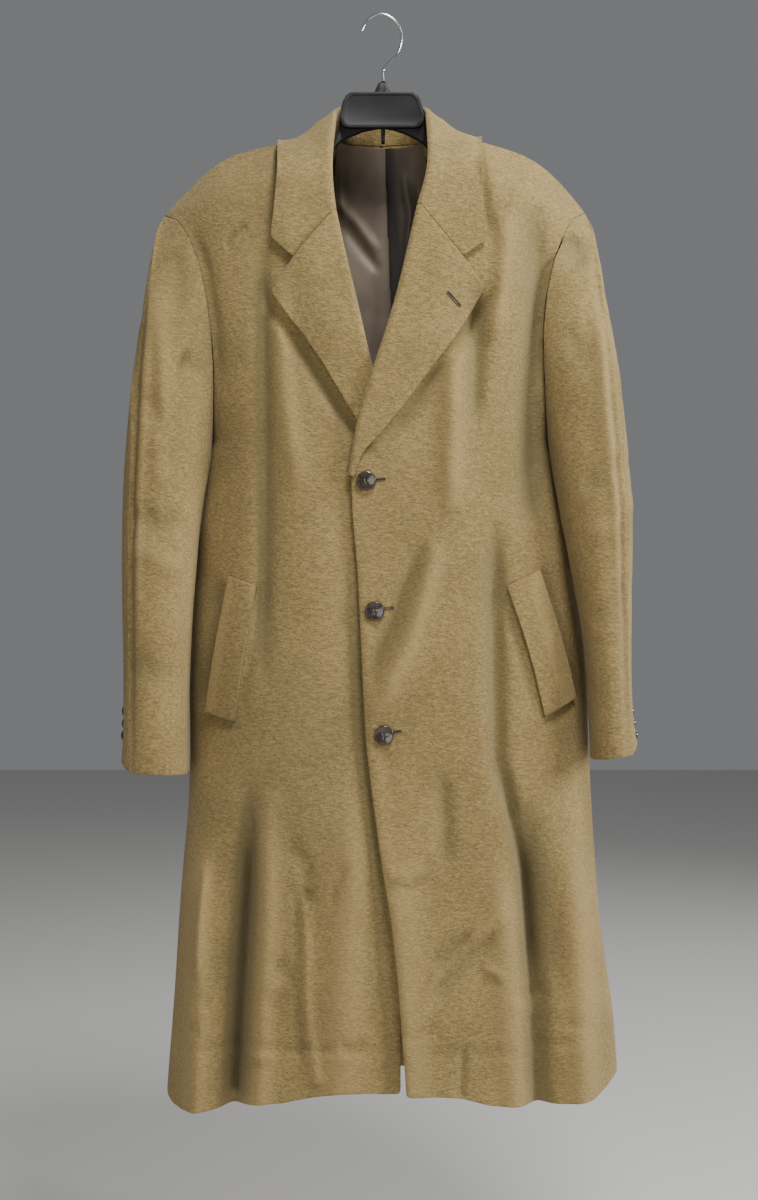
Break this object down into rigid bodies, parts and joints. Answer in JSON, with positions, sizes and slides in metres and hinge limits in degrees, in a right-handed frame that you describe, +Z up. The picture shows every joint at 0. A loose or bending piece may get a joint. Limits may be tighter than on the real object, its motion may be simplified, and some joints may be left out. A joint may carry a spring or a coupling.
{
  "type": "overcoat on a hanger",
  "caption": "Single-breasted notch-lapel wool overcoat with slanted welt pockets and cuff buttons, hanging on a dark plastic hanger with a bright wire hook",
  "frame": {"origin": "the hang point: the inside of the top of the hanger's hook, where a rail or pin carries it", "axes": "+Z up along the coat's length, +X to the wearer's left, -Y out of the front of the coat"},
  "size_m": [0.6367, 0.1702, 1.353],
  "materials": {
    "wool": "matte",
    "lining": "satin",
    "button": "gloss",
    "hanger_plastic": "satin",
    "hook_steel": "polished"
  },
  "bodies": {
    "root": {"front_right": "wool", "front_left": "wool", "back_right": "wool", "back_left": "wool", "sleeve_top_right": "wool", "sleeve_under_right": "wool", "sleeve_top_left": "wool", "sleeve_under_left": "wool", "lapel_right": "wool", "lapel_left": "wool", "collar": "wool", "pocket_welt_right": "wool", "pocket_welt_left": "wool", "lining_back": "lining", "button_front_1": "button", "button_front_2": "button", "button_front_3": "button", "button_cuff_right_1": "button", "button_cuff_right_2": "button", "button_cuff_right_3": "button", "button_cuff_left_1": "button", "button_cuff_left_2": "button", "button_cuff_left_3": "button", "hanger_body": "hanger_plastic", "hanger_hook": "hook_steel"}
  },
  "joints": []
}
